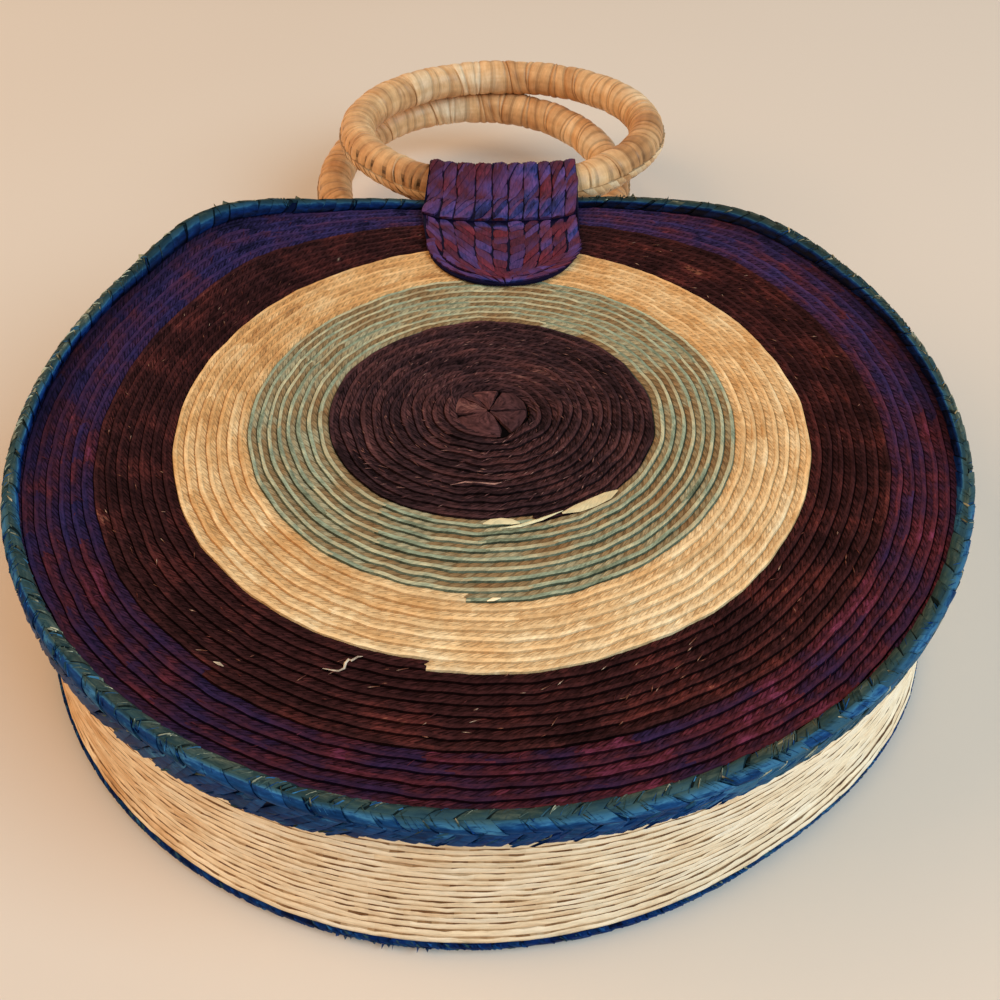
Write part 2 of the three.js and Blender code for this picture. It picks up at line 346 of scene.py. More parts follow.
def straw_finish(
    name, dyes, rough, gloss=0.03, grain=(0.8, 4.0), fleck=0.5, stain=0.2, blotch=0.35, hatch=0.0, slit_shade=0.0,
    relief=0.4,
):
    """Dyed straw: dyes gives screen colours at shades from 0 to 1, and fibres run along the leaf. fleck says
    how far they show, stain how far they differ in dye, and blotch how far whole leaves do. hatch is the
    strength of the slanted strokes that the crossing leaves of a braid show, slit_shade that of the painted
    shade in the short slits between the turns of its rope, and relief that of the fibres' bumps."""
    finish, wire, shader = finish_tree(name)
    dye = wire.node("ShaderNodeAttribute", {"attribute_name": "dye"}, {}, "Fac")
    tone = wire.node("ShaderNodeAttribute", {"attribute_name": "tone"}, {}, "Fac")
    leaf = wire.node("ShaderNodeUVMap", {"uv_map": "braid"}, {})
    run = wire.node("ShaderNodeMapping", {}, {"Vector": leaf, "Scale": (*grain, 1)})
    fine_grain = {"Vector": run, "Scale": 1.0, "Detail": 3.0, "Roughness": 0.65}
    fibre = wire.node("ShaderNodeTexNoise", {}, fine_grain)
    blot_place = wire.node("ShaderNodeMapping", {}, {"Vector": leaf, "Scale": (0.35, 0.9, 1)})
    blot = wire.node("ShaderNodeTexNoise", {}, {"Vector": blot_place, "Scale": 1.0, "Detail": 2.0})
    slanted = wire.node("ShaderNodeMapping", {}, {"Vector": leaf, "Rotation": (0, 0, math.radians(-34))})
    stroke_place = wire.node("ShaderNodeMapping", {}, {"Vector": slanted, "Scale": (1.1, 6.5, 1)})
    stroke = wire.node("ShaderNodeTexNoise", {}, {"Vector": stroke_place, "Scale": 1.0, "Detail": 2.0})
    shade = dye + stain * (fibre - 0.5) + blotch * (blot - 0.5) + 0.2 * hatch * (stroke - 0.5)
    stops = [(place, linear(*colour)) for place, colour in dyes]
    colour = wire.node("ShaderNodeValToRGB", {"stops": stops}, {"Fac": shade}, "Color")
    light = 1.0 + 2.4 * fleck * (fibre - 0.5) + 0.8 * fleck * (blot - 0.5) + 2.0 * hatch * (stroke - 0.5)
    # Painted shade in the slits between the turns of the rope
    if slit_shade:
        along = wire.node("ShaderNodeSeparateXYZ", {}, {"Vector": leaf}, "X")
        across = wire.node("ShaderNodeSeparateXYZ", {}, {"Vector": leaf}, "Y")
        wave = wire.maths("SINE", 4 * math.pi * (along - 0.95 * across) + 5.0 * (blot - 0.5))
        slit = wire.maths("GREATER_THAN", wave + 2.4 * (fibre - 0.5), 0.5)
        light = light - slit_shade * slit * wire.maths("LESS_THAN", across, 0.56)
    light = tone * wire.maths("MAXIMUM", light, 0.12)
    lighter = {"Vector": colour, "Scale": light}
    lit = wire.node("ShaderNodeVectorMath", {"operation": "SCALE"}, lighter, "Vector")
    lit.into(shader, "Base Color")
    (rough + 0.35 * (fibre - 0.5)).into(shader, "Roughness")
    grown = fibre + hatch * stroke
    raised = wire.node("ShaderNodeBump", {}, {"Height": grown, "Strength": relief, "Distance": 0.0003})
    raised.into(shader, "Normal")
    shader.inputs["Specular IOR Level"].default_value = gloss
    return finish


# One row of braid from its inner to its outer edge, as shares of the row and heights over the disc: a rope of
# slanted cells that comes out from under the row inside it, then a smooth flat leaf
row_pitch = 4.3
knot_radius = 13.0
cell_length = 4.8
cell_points = 3
first_angle = math.radians(282)
row_across = np.array([-0.05, 0.06, 0.29, 0.5, 0.6, 0.77, 0.94, 1.03, 0.75, 0.25])
row_height = np.array([-1.1, -0.6, -0.06, -0.24, 0.0, 0.12, 0.0, -0.95, -straw_wall, -straw_wall])
row_slant = np.array([0, -1.0, 0, 1.0, 0, 0, 0, 0, 0, 0])
cell_dip = np.array([0, 0.2, 0.32, 0.15, 0, 0, 0, 0, 0, 0])
# Lightness of a rope cell, face by face: the face that runs down into each pit is painted shade
cell_tones = np.array([0.85, 1.05, 0.42])
# Faces of the gaps between rows, which carry painted shade
gap_faces = [0, 6]
inner_faces = slice(0, 3)
rope_faces = slice(1, 3)
valley_face = 3
strip_faces = {4: -1.2, 5: 1.2}
row_strip = slice(4, 7)
last_radius = disc_radius - 0.3
most_leaves = 2000


def spiral_turn(along):
    """Turns of the spiral after a length of braid."""
    first = knot_radius + row_pitch / 2
    return (np.sqrt(first**2 + np.maximum(along, 0) * row_pitch / math.pi) - first) / row_pitch


def spiral_length(turn):
    """Length of braid in the first turns of the spiral."""
    return 2 * math.pi * ((knot_radius + row_pitch / 2) * turn + row_pitch * turn**2 / 2)


def change_turn(radius, degrees):
    """The turn at which one dyed braid follows another, near a radius and at an angle."""
    share = (first_angle - math.radians(degrees)) / (2 * math.pi) % 1
    return round((radius - row_pitch / 2 - knot_radius) / row_pitch - share) + share


def leaf_shares(along, ends):
    """Which leaf lies at each place along a braid, and how far through its leaf each place is."""
    leaf = np.searchsorted(ends, along)
    start = np.where(leaf > 0, ends[np.maximum(leaf - 1, 0)], along[0])
    return leaf, (along - start) / (ends[leaf] - start)


def coil_part(
    side, turn_from, turn_to, seed, dye, spread, rope, gap_shade, strip=0.0, patch=0.1, drift=(0, 0), unrest=1.0,
    light=(1.0, 0, 0), painted_rim_shade=0.0,
):
    """A length of sewn braid between two turns of a disc's spiral. Its dye spreads from leaf to leaf, in
    patches, and drifts to the right and away. rope says how clear its rope is: its cells differ at random,
    and the pits between them and the valley before the flat leaf are painted shade. gap_shade is how light
    its gaps are, as painted shade between the rows. strip is how far the dye of its flat leaf is from the
    rope's, and unrest how unevenly it lies. light is how light it is in the middle, and how that grows to the
    right and away as painted light. painted_rim_shade darkens it under the far rim as painted shade."""
    draw = np.random.default_rng(seed)
    points_per_cell = cell_points if side["out"] > 0 else cell_points / 2
    step = cell_length / points_per_cell
    first = math.floor(spiral_length(turn_from) / step) - 1 if turn_from else 0
    count = np.arange(first, math.floor(spiral_length(turn_to) / step) + 1)
    along = count * step
    ends = along[0] + np.cumsum(draw.uniform(14, 36, most_leaves))
    leaf, share = leaf_shares(along, ends)
    leaf_shade = draw.random(most_leaves)
    leaf_light = draw.uniform(0.88, 1.08, most_leaves)
    leaf_lift = draw.normal(0, 0.05, most_leaves)
    cell = np.floor(count / points_per_cell).astype(int)
    cell_shade = draw.random(cell[-1] + 2)

    turn = spiral_turn(along[:, None] + row_slant)
    angle = first_angle - 2 * math.pi * turn
    radius = knot_radius + row_pitch * (turn + row_across)
    x, y = radius * np.cos(angle), radius * np.sin(angle)
    near_knot = 1 + 1.6 * np.exp(-(radius - knot_radius) / 22)
    radius = radius + unrest * near_knot * (0.3 * wander(x, y, 55, 3) + 0.2 * wander(x, y, 21, 4))
    radius = radius * (1 + 0.026 * np.cos(2 * angle) * (1 - smooth_rise(radius, 72, 106)))
    radius = np.minimum(radius, last_radius)
    x, y = radius * np.cos(angle), radius * np.sin(angle)

    height = np.broadcast_to(row_height, x.shape).copy()
    top = slice(0, len(row_height) - 2)
    height[:, top] += unrest * 0.14 * near_knot[:, top] * wander(x[:, top], y[:, top], 17, seed + 1)
    height[:, row_strip] += unrest * 0.06 * wander(x[:, row_strip], y[:, row_strip], 6, seed + 3)
    if side["out"] > 0:
        height -= cell_dip * (count % cell_points == 0)[:, None]
    height[:, row_strip] += (0.2 * share**3 - 0.07 + leaf_lift[leaf])[:, None]
    if turn_from:
        height[:2, top] -= 0.35
    points = disc_points(side, x, y, height)

    shade = np.repeat(leaf_shade[leaf][:-1, None], len(row_across), axis=1)
    tone = np.ones(shade.shape)
    cell_spread = 0.4 * (cell_shade[cell[:-1]][:, None] - 0.5)
    shade[:, inner_faces] = 0.6 * shade[:, inner_faces] + 0.2 + cell_spread
    cell_light = cell_tones[count[:-1] % cell_points] if side["out"] > 0 else np.full(len(count) - 1, 0.8)
    cell_light = cell_light * (0.8 + 0.35 * cell_shade[cell[:-1]])
    # Painted shade in the pits between the rope's cells and in the valley before the flat leaf
    tone[:, rope_faces] = (1 - rope * (1 - cell_light))[:, None]
    tone[:, valley_face] = 1 - 0.45 * rope
    for face, offset in strip_faces.items():
        own = np.searchsorted(ends, along[:-1] + offset)
        shade[:, face] = leaf_shade[own] + strip
        tone[:, face] = leaf_light[own]
    # Painted shade in the gaps between rows; on the sage they also take the dark green of its flat leaf
    tone[:, gap_faces] = gap_shade
    shade[:, gap_faces] += 1.7 * min(strip, 0)
    x, y, radius = x[:-1], y[:-1], radius[:-1]
    # Painted shade on the outer rows under the far rim
    rim_shade_mask = smooth_rise(radius, 172, 187) * smooth_rise(y, -70, 0)
    tone = tone * (1 - painted_rim_shade * rim_shade_mask * smooth_rise(np.abs(x) / radius, 0.4, 0.75))
    # Painted light: the tone grows across the disc by light[1] to the right and light[2] away
    tone = tone * (light[0] + (light[1] * x + light[2] * y) / disc_radius)
    shade = dye + spread * (shade - 0.5) + patch * wander(x, y, 34, seed + 2)
    shade = shade + 0.5 * patch * wander(x, y, 9, seed + 4) + (drift[0] * x + drift[1] * y) / disc_radius
    u = (count / points_per_cell)[:, None]
    v = np.append(row_across, row_across[0])[None, :]
    part = grid_part(points, u, v, np.clip(shade, 0, 1), tone, close=True, caps=True)
    return turned_out(part)


def strand_part(side, places, width, dye, tone):
    """A thin loose strand or torn leaf along places on a disc, pointed at both ends."""
    x, y = np.array(places, float).T
    along = np.stack([np.gradient(x), np.gradient(y)])
    along = along / np.hypot(*along)
    share = np.linspace(-1, 1, len(x))
    half = width / 2 * np.sqrt(1.03 - share**2)
    thick = np.minimum(half, 0.4)
    u = np.cumsum(np.hypot(np.gradient(x), np.gradient(y)))[:, None] / cell_length
    v = np.stack([half, 0 * half, -half, 0 * half, half], axis=1) / cell_length + 2
    middle = disc_points(side, x, y, 0.2 + 0.3 * thick)
    aside = np.stack([-along[1] * half, along[0] * half, 0 * half], axis=-1)
    up = np.stack([0 * half, 0 * half, thick], axis=-1)
    points = np.stack([middle + aside, middle + up, middle - aside, middle - up], axis=1)
    return turned_out(grid_part(points, u, v, dye, tone, close=True, caps=True))


def fleck_parts(side, radius_from, radius_to, number, seed):
    """Short split ends that stand out of the rows of a dark braid."""
    draw = np.random.default_rng(seed)
    parts = []
    for _ in range(number):
        radius = math.sqrt(draw.uniform(radius_from**2, radius_to**2))
        angle = draw.uniform(0, 2 * math.pi)
        heading = angle + math.pi / 2 + draw.normal(0.35, 0.35)
        reach = draw.uniform(-1, 1, 3) * 0.2 + np.array([-0.5, 0, 0.5]) * draw.uniform(1.5, 4.5)
        x = radius * math.cos(angle) + reach * math.cos(heading)
        y = radius * math.sin(angle) + reach * math.sin(heading)
        width = draw.uniform(0.25, 0.5)
        parts.append(strand_part(side, np.stack([x, y], axis=1), width, draw.uniform(0.6, 0.86), 1.0))
    return parts


# The folded leaves of the knot: where each starts and how far it spans, in degrees, and its dye
knot_wedges = (
    (3, 67, 0.45), (-56, 57, 0.5), (73, 45, 0.66), (120, 17, 0.45), (139, 52, 0.7), (-167, 109, 0.56),
)


def knot_parts(side):
    """The folded leaves in the middle: a round bed darkened as painted shade, and flat wedges with slits
    between them, darker at their edges as painted shade.
    """
    parts = []
    steps = np.linspace(0, 2 * math.pi, 41)
    radii = np.array([0.2, 7.0, knot_radius + 3.5])[None, :]
    bed_x, bed_y = radii * np.cos(steps)[:, None], radii * np.sin(steps)[:, None]
    for below, flip in ((-1.3, 1), (-straw_wall, -1)):
        bed = disc_points(side, bed_x, bed_y, below)
        if flip * side["out"] > 0:
            bed = bed[::-1]
        parts.append(grid_part(bed, 0.0, 0.0, 0.0, 0.3))
    for number, (start, span, dye) in enumerate(knot_wedges):
        out = np.linspace(0.8, knot_radius + 3.0, 8)[:, None]
        over = np.array([0, 0.05, 0.3, 0.7, 0.95, 1.0])[None, :]
        angle = np.radians(start + span * over + 14 * np.sin(number) * (out / knot_radius - 0.5) * over)
        edge = (over == 0) | (over == 1)
        lift = 0.1 - 0.35 * over + 0.35 * np.sin(math.pi * over) - 0.9 * (out / (knot_radius + 3)) ** 3
        lift = lift - 0.8 * edge + 0.25 * np.sin(out * 0.9 + 2 * number)
        x, y = out * np.cos(angle), out * np.sin(angle)
        leaf = disc_points(side, x, y, lift)
        if side["out"] > 0:
            leaf = leaf[::-1]
        # Painted shade along the wedges' edges, at the slits
        tone = np.where(edge[:, :-1] | edge[:, 1:], 0.5, 1.0)
        parts.append(grid_part(leaf, out / cell_length + start, over * out / cell_length + 2, dye, tone))
    return parts


def sew_band(band, turn_from, turn_to, seed, look, finish, flecks=(), strands=()):
    """Both coils of a dyed band. The first band starts at the knot. The front coil also has flecks, given by
    two radii and how many lie between them, and strands, given as strand_part takes them."""
    for side in sides:
        parts = [coil_part(side, turn_from, turn_to, seed, **look)]
        if not turn_from:
            parts += knot_parts(side)
        if flecks and side["out"] > 0:
            parts += fleck_parts(side, *flecks, seed + 1)
        if side["out"] > 0:
            parts += [strand_part(side, *strand) for strand in strands]
        name = side["name"]
        straw_piece(f"{name}_{band}_braid", parts, finish, f"{name}_{band}_coil")


centre_end = change_turn(68, 285)
centre_dyes = [(0.0, (18, 9, 11)), (0.35, (58, 37, 39)), (0.7, (90, 54, 52)), (1.0, (150, 108, 94))]
centre_look = {"dye": 0.42, "spread": 0.34, "rope": 0.8, "gap_shade": 0.25, "unrest": 1.5}
centre_strands = [([(-14.9, -45.1), (-9.1, -43.5), (2.6, -44.7), (5.3, -43.6)], 0.9, 1.0, 1.3)]
centre_finish = straw_finish("plum_brown_straw", centre_dyes, 0.6, fleck=0.8, hatch=1.0, slit_shade=0.6)
sew_band("centre", 0.0, centre_end, 10, centre_look, centre_finish, (18, 62, 260), centre_strands)

# Sage coils
# Eight turns of a braid with a tan and cream rope and flat grey-green leaves, stitched on where the
# plum-brown one ends. Three torn leaves show near its start.
sage_end = change_turn(102, 265)
sage_dyes = [
    (0.0, (76, 82, 64)), (0.2, (108, 114, 90)), (0.38, (148, 158, 132)),
    (0.54, (190, 180, 143)), (0.74, (154, 126, 88)), (1.0, (138, 100, 64)),
]
sage_look = {"dye": 0.72, "spread": 0.3, "rope": 0.6, "gap_shade": 0.5, "strip": -0.9, "patch": 0.08}
sage_finish = straw_finish("sage_straw", sage_dyes, 0.5, fleck=0.4, hatch=0.55, slit_shade=0.3, blotch=0.24)
torn_leaves = (
    (((-2, -66.2), (1, -65.2), (5, -64.8), (9, -65.2), (12, -65.8)), 3.2, 0.61, 1.65),
    (((4.4, -68.6), (12, -67.2), (20, -63.9), (28.4, -59.4)), 1.6, 0.56, 1.65),
    (((28, -60.8), (34, -58.3), (40, -55.2), (46, -51.5), (50, -48.6)), 4.6, 0.64, 1.65),
)
sew_band("sage", centre_end, sage_end, 20, sage_look, sage_finish, strands=torn_leaves)

# Natural coils
# Seven turns of undyed golden straw.
natural_end = change_turn(130.5, 261)
natural_dyes = [
    (0.0, (172, 114, 64)), (0.35, (220, 166, 106)),
    (0.7, (240, 200, 146)), (1.0, (252, 228, 184)),
]
natural_look = {
    "dye": 0.5, "spread": 0.3, "rope": 0.38, "gap_shade": 0.7, "strip": 0.1, "patch": 0.08, "drift": (0.12, -0.24),
}
natural_finish = straw_finish("natural_straw", natural_dyes, 0.45, 0.1, fleck=0.3, hatch=0.4, slit_shade=0.3)
natural_strands = [([(-0.2, -103.3), (2.0, -102.6), (4.7, -102.0)], 1.6, 1.0, 1.2)]
sew_band("natural", sage_end, natural_end, 30, natural_look, natural_finish, strands=natural_strands)

# Brown coils
# Seven turns of dark brown braid, with a few leaves that took the dye redder.
brown_end = change_turn(163, 235)
brown_dyes = [
    (0.0, (18, 7, 8)), (0.45, (48, 23, 23)), (0.7, (74, 33, 30)),
    (0.82, (120, 74, 56)), (1.0, (206, 186, 160)),
]
# light makes the brown lighter to the right and darker away, as painted light
brown_look = {"dye": 0.44, "spread": 0.2, "rope": 0.7, "gap_shade": 0.18, "light": (1.36, 0.1, -0.12)}
brown_finish = straw_finish("brown_straw", brown_dyes, 0.6, fleck=0.6, hatch=1.0, slit_shade=0.55)
crooked_strand = [
    (-54.1, -131.7), (-48.9, -132.8), (-47.0, -131.7), (-46.8, -129.5), (-45.9, -128.0), (-45.0, -128.5),
    (-42.9, -126.9), (-41.4, -126.7),
]
short_strand = [(-90.2, -129.4), (-88.3, -130.2), (-86.5, -131.3)]
brown_strands = [(crooked_strand, 1.0, 1.0, 1.2), (short_strand, 1.1, 1.0, 0.9)]
sew_band("brown", natural_end, brown_end, 40, brown_look, brown_finish, (134, 160, 240), brown_strands)

# Purple coils
# The outer turns of each disc, of a braid dyed unevenly from indigo through violet to wine red. The last turn
# runs out under the rim braid.
purple_end = (disc_radius - knot_radius) / row_pitch - 0.15
purple_dyes = [
    (0.0, (13, 12, 32)), (0.25, (40, 32, 66)), (0.46, (50, 31, 58)),
    (0.66, (60, 30, 44)), (0.84, (78, 33, 40)), (1.0, (96, 42, 62)),
]
# light makes the purple lighter to the right and away, as painted light and a painted sheen on the far side
purple_look = {
    "dye": 0.51, "spread": 0.42, "rope": 0.65, "gap_shade": 0.18, "drift": (0.06, -0.23),
    "light": (1.36, 0.2, 0.34), "painted_rim_shade": 0.65,
}
purple_finish = straw_finish(
    "purple_straw", purple_dyes, 0.55, fleck=0.75, stain=0.35, hatch=0.75, slit_shade=0.55
)
sew_band("purple", brown_end, purple_end, 50, purple_look, purple_finish, (163, 180, 160))

# Gusset
# The side wall, of undyed braid sewn round and round from one end of the mouth to the other. It leans with
# the discs, and each row laps over the one below it and throws a thin wavy shadow on it.
gusset_rows = 19
gusset_wall = 2.5
gusset_step = 2.4
gusset_foot = 1.9
gusset_bulge = 0.9
row_leaves, row_shades = 200, 300
mouth_from, mouth_to = 48, 132
gusset_across = np.array([-0.06, 0.05, 0.17, 0.4, 0.65, 0.86, 1.04, 0.5])
gusset_height = np.array([-1.1, -0.6, -0.05, 0.3, 0.34, 0.05, -1.1, -gusset_wall])
# Tone across a row: the dark line at its top is painted shadow from the row above, and its rounded lower edge
# is painted shade
gusset_tone = np.array([0.32, 0.55, 1.0, 1.0, 1.0, 0.8, 0.9, 0.9])
gusset_angles = np.radians(np.arange(mouth_to, 360 + mouth_from, math.degrees(gusset_step / disc_radius)))
gusset_dyes = [(0.0, (142, 92, 54)), (0.3, (216, 170, 120)), (0.6, (246, 220, 182)), (1.0, (252, 238, 214))]
gusset_finish = straw_finish("gusset_straw", gusset_dyes, 0.5, 0.08, fleck=0.3)


def gusset_row(row):
    """One row of the side wall, counted down from the front disc. The lowest rows flare out over the lower
    rim, most of all on the right."""
    draw = np.random.default_rng(100 + row)
    angle = gusset_angles[:, None]
    along = angle * disc_radius
    x, y = disc_radius * np.cos(angle), disc_radius * np.sin(angle)
    high = front_face(x, y) - straw_wall - 0.3
    low = back_face(x, y) + 0.8
    down = row + gusset_across + 0.06 * wander(along, 0 * along, 30, 200 + row)
    down[:, 1:3] += 0.07 * wander(along, 0 * along, 9, 240 + row)
    down = np.clip(down / gusset_rows, 0, 1)
    ends = along[0] + np.cumsum(draw.uniform(12, 30, row_leaves))
    leaf, share = leaf_shares(along[:, 0], ends)
    lift = np.broadcast_to(gusset_height, down.shape).copy()
    lift[:, 1:5] += (0.25 * share**3 - 0.08)[:, None] + 0.16 * wander(along, 0 * along, 24, 300 + row)
    degrees = (np.degrees(angle) + 90) % 360 - 90
    bulge = gusset_bulge * smooth_rise(degrees, -80, -45) * (1 - smooth_rise(degrees, 5, 30))
    radius = disc_radius + np.minimum(lift, 0.6) + (gusset_foot + bulge) * smooth_rise(down, 0.82, 1.0)
    slide = back_side["shift"] * down
    height = high + (low - high) * down
    points = np.stack([radius * np.cos(angle) + slide, radius * np.sin(angle), height], axis=-1)
    shade = np.repeat(draw.random(row_shades)[leaf][:-1, None], len(gusset_across), axis=1)
    tan = 0.3 * smooth_rise(-np.cos(angle[:-1]), 0.35, 0.9)
    shade = 0.64 + 0.12 * (shade - 0.5) + 0.07 * wander(along[:-1], row * 5.0, 26, 400) - tan
    # The dark line under each lap is dark brown dye and painted shadow, broken into dashes; clear deepens the
    # painted shadow and the painted shade of the lower edge on the right
    clear = smooth_rise(np.cos(angle[:-1]), 0.1, 0.6)
    broken = smooth_rise(wander(along[:-1], 0 * along[:-1], 13, 500 + row), -0.6, 0.6)
    broken = 0.4 + 0.35 * clear + (0.6 - 0.35 * clear) * broken
    shade[:, :2] += (0.06 - shade[:, :2]) * broken
    shade[:, 4:6] -= 0.1
    tone = 1 - (1 - gusset_tone) * (0.5 + 0.5 * broken)
    tone[:, 2:5] *= draw.uniform(0.96, 1.04, row_shades)[leaf][:-1, None]
    tone[:, :2] *= 1 - 0.4 * clear
    tone[:, 5:6] *= 1 - 0.18 * clear
    v = np.append(gusset_across, gusset_across[0])[None, :]
    u = along / cell_length + 400 * row
    return turned_out(grid_part(points, u, v, np.clip(shade, 0, 1), tone, close=True, caps=True))


gusset_parts = [gusset_row(row) for row in range(gusset_rows)]
straw_piece("gusset_braid", gusset_parts, gusset_finish, "gusset")

# Rim braids
# A broad plait of blue and teal leaves is folded over the edge of each disc and stitched through it, with one
# half on the disc and the other on the gusset. Its leaves lie flat and lap over each other like scales.
rim_inner = 184.8
rim_top = 5.0
rim_round = 2.4
rim_fold = 2.2
rim_face = 2.8
rim_bed = 0.7
rim_thick = 1.6
rim_pitch = 8.8
mouth_leg = 5.5


def rim_leg(degrees, side):
    """Height of the rim's side leg: on the front it is shorter at the mouth and longer on the near left. On
    the back it is short all round."""
    angle = (degrees + 90) % 360 - 90
    past = np.maximum(mouth_from - angle, angle - mouth_to)
    if side["out"] < 0:
        return 1.0 + 0 * angle
    leg = 7.0 + 4.5 * smooth_rise(angle, 150, 190) * (1 - smooth_rise(angle, 256, 260))
    return mouth_leg + (leg - mouth_leg) * smooth_rise(past, -12, 0)


def rim_surface(side):
    """Places on the rim: along it, across it from its inner edge over the fold and down, and above it."""

    def place(along, across, lift):
        angle = along / disc_radius
        cos, sin = np.cos(angle), np.sin(angle)
        inside = np.clip((rim_top - across) / rim_top, 0, 1.1) * math.pi / 2
        fold = np.clip((across - rim_top) / rim_fold, 0, math.pi / 2)
        down = np.maximum(across - rim_top - rim_fold * math.pi / 2, 0)
        crest = rim_inner + rim_top
        broad = rim_top * (1 - 0.34 * cos**2) * (1 + 0.6 * smooth_rise(sin, 0.1, 0.6))
        radius = crest - (broad + lift) * np.sin(inside) + (rim_fold + lift) * np.sin(fold)
        on_disc = np.minimum(crest - broad * np.sin(inside), disc_radius)
        top = side["face"](on_disc * cos, on_disc * sin) + side["out"] * rim_face
        drop = rim_round * (1 - np.cos(inside)) + rim_fold * (1 - np.cos(fold)) + down
        drop = drop - lift * np.cos(inside) * np.cos(fold)
        edge_x, edge_y = disc_radius * cos, disc_radius * sin
        lean = side["lean"] * np.maximum(drop, 0) / (front_face(edge_x, edge_y) - back_face(edge_x, edge_y))
        x = radius * cos + lean + side["shift"]
        return np.stack([x, radius * sin, top - side["out"] * drop], axis=-1)

    return place


broad_run = np.array([-1, -0.92, -0.64, -0.2, 0.2, 0.6, 0.9, 1])[:, None]
broad_span = np.array([-1, -0.9, -0.45, 0.05, 0.5, 0.9, 1])[None, :]
split_run = np.array([-1, -0.6, 0.0, 0.6, 1])[:, None]
split_span = np.array([-1, 0.0, 1])[None, :]


def leaf_parts(place, leaves, outward, dye_at=None, ends=0.5, sides=0.5):
    """Flat leaves of straw on a surface, turned, slanted, tapered and tipped each in its own way, with the
    edges pressed into what lies under them. outward gives the way out of the piece at a point, and the faces
    are turned to it. dye_at adds to the dye by the place on the surface. ends and sides are the tones of
    painted shade along the edges, and a leaf's under is the tone of painted shadow on the strip that the tip
    before it shades."""
    parts = []
    for number, leaf in enumerate(leaves):
        turn = math.radians(leaf.get("turn", 0))
        leaf_run, leaf_span = (split_run, split_span) if leaf.get("split") else (broad_run, broad_span)
        leaf_rim = (np.abs(leaf_run) == 1) | (np.abs(leaf_span) == 1)
        span = leaf_span * (1 - leaf.get("taper", 0) * np.abs(leaf_run) ** 3) * leaf["width"] / 2
        run = leaf_run * leaf["length"] / 2 + leaf.get("slant", 0) * span
        along = leaf["along"] + run * math.cos(turn) - span * math.sin(turn)
        across = leaf["across"] + run * math.sin(turn) + span * math.cos(turn)
        dome = (1 - 0.3 * np.abs(leaf_run) ** 4) * (1 - leaf.get("round", 0.3) * leaf_span**2)
        lift = leaf["base"] + np.where(leaf_rim, -leaf["sink"], leaf["lift"] * dome + leaf["tip"] * leaf_run)
        points = place(along, across, lift)
        u = run / cell_length + 7.3 * number
        v = span / cell_length + 0.5
        dye = leaf["dye"] + (dye_at(along, across) if dye_at else 0.0)
        tone = np.full((len(leaf_run) - 1, leaf_span.size - 1), leaf["tone"])
        if not leaf.get("split"):
            # Painted shade along the leaf's edges, and painted shadow on the strip under the tip before
            tone[:, [0, -1]] *= sides
            tone[[0, -1]] *= ends
            tone[1] *= leaf.get("under", 1)
        part = grid_part(points, u, v, np.clip(dye, 0, 1), tone)
        a, b, c, d = (part["points"][part["faces"][:, k]] for k in range(4))
        if (np.cross(c - a, d - b) * outward((a + c) / 2)).sum() < 0:
            part = turned_over(part)
        parts.append(part)
    return parts


# Rim colours at shades from 0 to 1; the one at 0.5 is a painted highlight for the fold
rim_dyes_and_highlight = [
    (0.0, (5, 9, 30)), (0.2, (9, 38, 92)), (0.42, (25, 68, 115)), (0.5, (56, 106, 138)),
    (0.58, (50, 86, 104)), (0.74, (50, 72, 72)), (0.88, (82, 90, 78)), (1.0, (200, 192, 158)),
]
rim_finish = straw_finish("rim_straw", rim_dyes_and_highlight, 0.42, 0.03, fleck=0.8, stain=0.3, relief=0.3)


# Dye across the rim at places round it, from its inner edge over the fold and down: distances and shades.
# The near profiles pass the painted highlight at 0.5 on the fold; round the far half the inner edge starts
# in painted shade and the fold ends in painted sheen.
rim_profiles = {
    "near": ([0, 3.0, 4.5, 5.5, 6.5, 9.0, 14.0], [0.76, 0.74, 0.68, 0.54, 0.43, 0.36, 0.3]),
    "near_left": ([0, 3.0, 4.8, 5.3, 5.7, 9.0, 14.0], [0.84, 0.8, 0.74, 0.6, 0.4, 0.34, 0.3]),
    "near_right": ([0, 3.0, 4.5, 5.5, 6.5, 8.0, 14.0], [0.76, 0.74, 0.68, 0.5, 0.44, 0.54, 0.6]),
    "left": ([0, 1.6, 2.2, 2.6, 3.6, 5.0, 8.0, 14.0], [0.02, 0.06, 0.2, 0.62, 0.78, 0.86, 0.9, 0.3]),
    "right": ([0, 2.4, 2.9, 3.2, 4.0, 5.0, 8.0, 14.0], [0.0, 0.02, 0.1, 0.58, 0.74, 0.8, 0.84, 0.2]),
    "far_left": ([0, 1.4, 2.4, 3.2, 4.2, 5.2, 7.0, 14.0], [0.03, 0.1, 0.22, 0.46, 0.6, 0.76, 0.82, 0.2]),
}


def rim_dye_and_painted_light(along, across):
    """Near the viewer grey teal on the disc, a pale blue painted highlight on the fold, and deep blue or
    slate on the side. Round the far half the inner edge is navy darkened to nearly black as painted shade,
    and the fold is grey teal with painted sheen."""
    cos, sin = np.cos(along / disc_radius), np.sin(along / disc_radius)
    dye = {name: np.interp(across, *profile) for name, profile in rim_profiles.items()}
    near = dye["near"] + (dye["near_left"] - dye["near"]) * smooth_rise(-cos, 0.0, 0.5)
    near = near + (dye["near_right"] - near) * smooth_rise(cos, 0.2, 0.6)
    far = dye["right"] + (dye["left"] - dye["right"]) * smooth_rise(-cos, -0.2, 0.5)
    far = far + (dye["far_left"] - far) * smooth_rise(sin, 0.35, 0.75) * smooth_rise(-cos, -0.1, 0.2)
    return far + (near - far) * smooth_rise(-sin, 0.1, 0.55)


def rim_foot(reach, degrees):
    """How far across the rim its foot is, at an angle."""
    return float(np.interp(degrees % 360, np.arange(361), np.append(reach, reach[0])))


